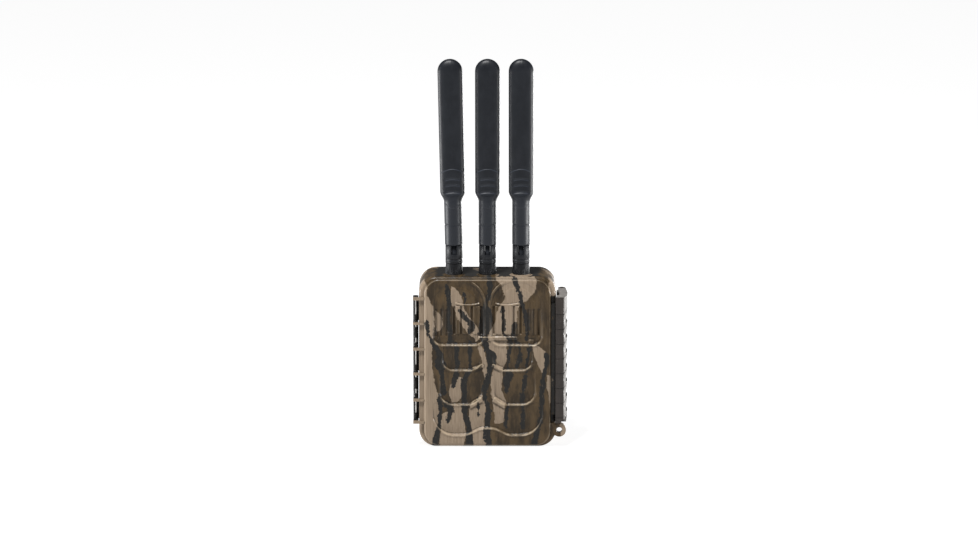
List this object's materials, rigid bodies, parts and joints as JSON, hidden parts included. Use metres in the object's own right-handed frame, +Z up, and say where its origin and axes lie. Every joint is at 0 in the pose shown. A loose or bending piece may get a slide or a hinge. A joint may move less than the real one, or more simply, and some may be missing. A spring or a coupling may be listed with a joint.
{
  "type": "trail camera",
  "caption": "Camouflaged box camera for outdoor use with a hinged relief-moulded rear door, side finger latch, padlock eye and upright paddle antennas that swivel and tilt.",
  "frame": {"origin": "mouth of the tripod socket in the middle of the base", "axes": "+Z up; +Y the way the lens looks; +X towards the latch, so the hinged rear door faces -Y with its hinge at -X"},
  "size_m": [0.1206, 0.0671, 0.3048],
  "materials": {
    "housing_camo": "moulded plastic printed with a bark camouflage",
    "door_camo": "moulded plastic printed with a bark camouflage",
    "latch_plastic": "smooth dark brown moulded plastic, slightly worn",
    "whip_plastic": "satin charcoal moulded plastic",
    "swivel_plastic": "satin charcoal moulded plastic",
    "collar_metal": "black plated, knurled",
    "jack_brass": "gold plated",
    "steel": "bright pin steel",
    "insert_brass": "machined",
    "copper": "bare copper alloy",
    "seal_rubber": "black silicone",
    "bezel_black": "fine textured black",
    "ir_glass": "dark infrared-passing window",
    "clear_glass": "clear",
    "pir_plastic": "milky Fresnel lens",
    "lamp": "tinted epoxy lamps",
    "board_green": "solder mask",
    "dark_part": "moulded electronic part",
    "can": "screening can",
    "coax": "black jacket",
    "fascia_grey": "fine textured dark grey",
    "button_rubber": "grey keypad rubber",
    "switch_plastic": "orange",
    "card_plastic": "card",
    "sim_plastic": "card",
    "cell": "shrink-sleeved cell",
    "contact": "nickel plated"
  },
  "bodies": {
    "housing": {"front_housing": "housing_camo", "housing_rim": "housing_camo", "pivot_pins": "steel", "tripod_insert": "insert_brass", "antenna_jacks": "jack_brass", "antenna_seals": "seal_rubber", "antenna_collars": "collar_metal", "front_bezel": "bezel_black", "ir_window": "ir_glass", "ir_led_board": "board_green", "ir_leds": "lamp", "lens_window": "clear_glass", "lens_holder": "dark_part", "lens_barrel": "dark_part", "lens_glass": "clear_glass", "image_sensor": "dark_part", "pir_lens": "pir_plastic", "pir_sensor": "can", "light_pipes": "clear_glass", "main_board": "board_green", "modem_module": "can", "antenna_pigtails": "coax", "control_fascia": "fascia_grey", "display_window": "clear_glass", "display_panel": "dark_part", "control_board": "board_green", "panel_switches": "dark_part", "card_sockets": "can", "fasteners": "steel", "battery_holder": "bezel_black", "battery_cells": "cell", "battery_contacts": "contact", "dc_jack": "dark_part", "dc_port_plug": "seal_rubber"},
    "door": {"rear_door": "door_camo", "door_hinge_leaf": "door_camo", "door_gasket": "seal_rubber", "door_face_panel": "door_camo"},
    "latch": {"latch_lever": "latch_plastic"},
    "ir_filter": {"ir_cut_filter": "ir_glass"},
    "power_switch": {"power_switch_knob": "switch_plastic"},
    "sd_card": {"sd_card": "card_plastic"},
    "sim_card": {"sim_card": "sim_plastic"},
    "button_up": {"button_up": "button_rubber"},
    "button_down": {"button_down": "button_rubber"},
    "button_left": {"button_left": "button_rubber"},
    "button_right": {"button_right": "button_rubber"},
    "button_ok": {"button_ok": "button_rubber"},
    "antenna_left_swivel": {"antenna_left_base": "swivel_plastic", "antenna_left_hinge_pin": "steel"},
    "antenna_left_whip": {"antenna_left_whip": "whip_plastic", "antenna_left_radiator": "copper"},
    "antenna_middle_swivel": {"antenna_middle_base": "swivel_plastic", "antenna_middle_hinge_pin": "steel"},
    "antenna_middle_whip": {"antenna_middle_whip": "whip_plastic", "antenna_middle_radiator": "copper"},
    "antenna_right_swivel": {"antenna_right_base": "swivel_plastic", "antenna_right_hinge_pin": "steel"},
    "antenna_right_whip": {"antenna_right_whip": "whip_plastic", "antenna_right_radiator": "copper"}
  },
  "joints": [
    {"name": "door_hinge", "type": "hinge", "parent": "housing", "child": "door", "pos_m": [-0.056, -0.018, 0.069], "axis": [0, 0, -1], "range_deg": [0, 110]},
    {"name": "latch_hinge", "type": "hinge", "parent": "housing", "child": "latch", "pos_m": [0.0582, 0.0006, 0.0703], "axis": [0, 0, 1], "range_deg": [0, 110]},
    {"name": "ir_filter_slide", "type": "slide", "parent": "housing", "child": "ir_filter", "axis": [1, 0, 0], "range_m": [0, 0.009]},
    {"name": "power_switch_slide", "type": "slide", "parent": "housing", "child": "power_switch", "axis": [0, 0, 1], "range_m": [-0.0045, 0.0045]},
    {"name": "sd_card_slide", "type": "slide", "parent": "housing", "child": "sd_card", "axis": [0, -1, 0], "range_m": [0, 0.0045]},
    {"name": "sim_card_slide", "type": "slide", "parent": "housing", "child": "sim_card", "axis": [0, -1, 0], "range_m": [0, 0.004]},
    {"name": "button_up_press", "type": "slide", "parent": "housing", "child": "button_up", "axis": [0, 1, 0], "range_m": [0, 0.0006], "stiffness_N_per_m": 400, "springref_m": -0.001},
    {"name": "button_down_press", "type": "slide", "parent": "housing", "child": "button_down", "axis": [0, 1, 0], "range_m": [0, 0.0006], "stiffness_N_per_m": 400, "springref_m": -0.001},
    {"name": "button_left_press", "type": "slide", "parent": "housing", "child": "button_left", "axis": [0, 1, 0], "range_m": [0, 0.0006], "stiffness_N_per_m": 400, "springref_m": -0.001},
    {"name": "button_right_press", "type": "slide", "parent": "housing", "child": "button_right", "axis": [0, 1, 0], "range_m": [0, 0.0006], "stiffness_N_per_m": 400, "springref_m": -0.001},
    {"name": "button_ok_press", "type": "slide", "parent": "housing", "child": "button_ok", "axis": [0, 1, 0], "range_m": [0, 0.0006], "stiffness_N_per_m": 400, "springref_m": -0.001},
    {"name": "antenna_left_swivel", "type": "hinge", "parent": "housing", "child": "antenna_left_swivel", "pos_m": [-0.0261, -0.017, 0.15], "axis": [0, 0, 1], "continuous": true},
    {"name": "antenna_left_tilt", "type": "hinge", "parent": "antenna_left_swivel", "child": "antenna_left_whip", "pos_m": [-0.0261, -0.017, 0.1517], "axis": [-1, 0, 0], "range_deg": [0, 90]},
    {"name": "antenna_middle_swivel", "type": "hinge", "parent": "housing", "child": "antenna_middle_swivel", "pos_m": [0, -0.017, 0.15], "axis": [0, 0, 1], "continuous": true},
    {"name": "antenna_middle_tilt", "type": "hinge", "parent": "antenna_middle_swivel", "child": "antenna_middle_whip", "pos_m": [0, -0.017, 0.1517], "axis": [-1, 0, 0], "range_deg": [0, 90]},
    {"name": "antenna_right_swivel", "type": "hinge", "parent": "housing", "child": "antenna_right_swivel", "pos_m": [0.0261, -0.017, 0.15], "axis": [0, 0, 1], "continuous": true},
    {"name": "antenna_right_tilt", "type": "hinge", "parent": "antenna_right_swivel", "child": "antenna_right_whip", "pos_m": [0.0261, -0.017, 0.1517], "axis": [-1, 0, 0], "range_deg": [0, 90]}
  ]
}
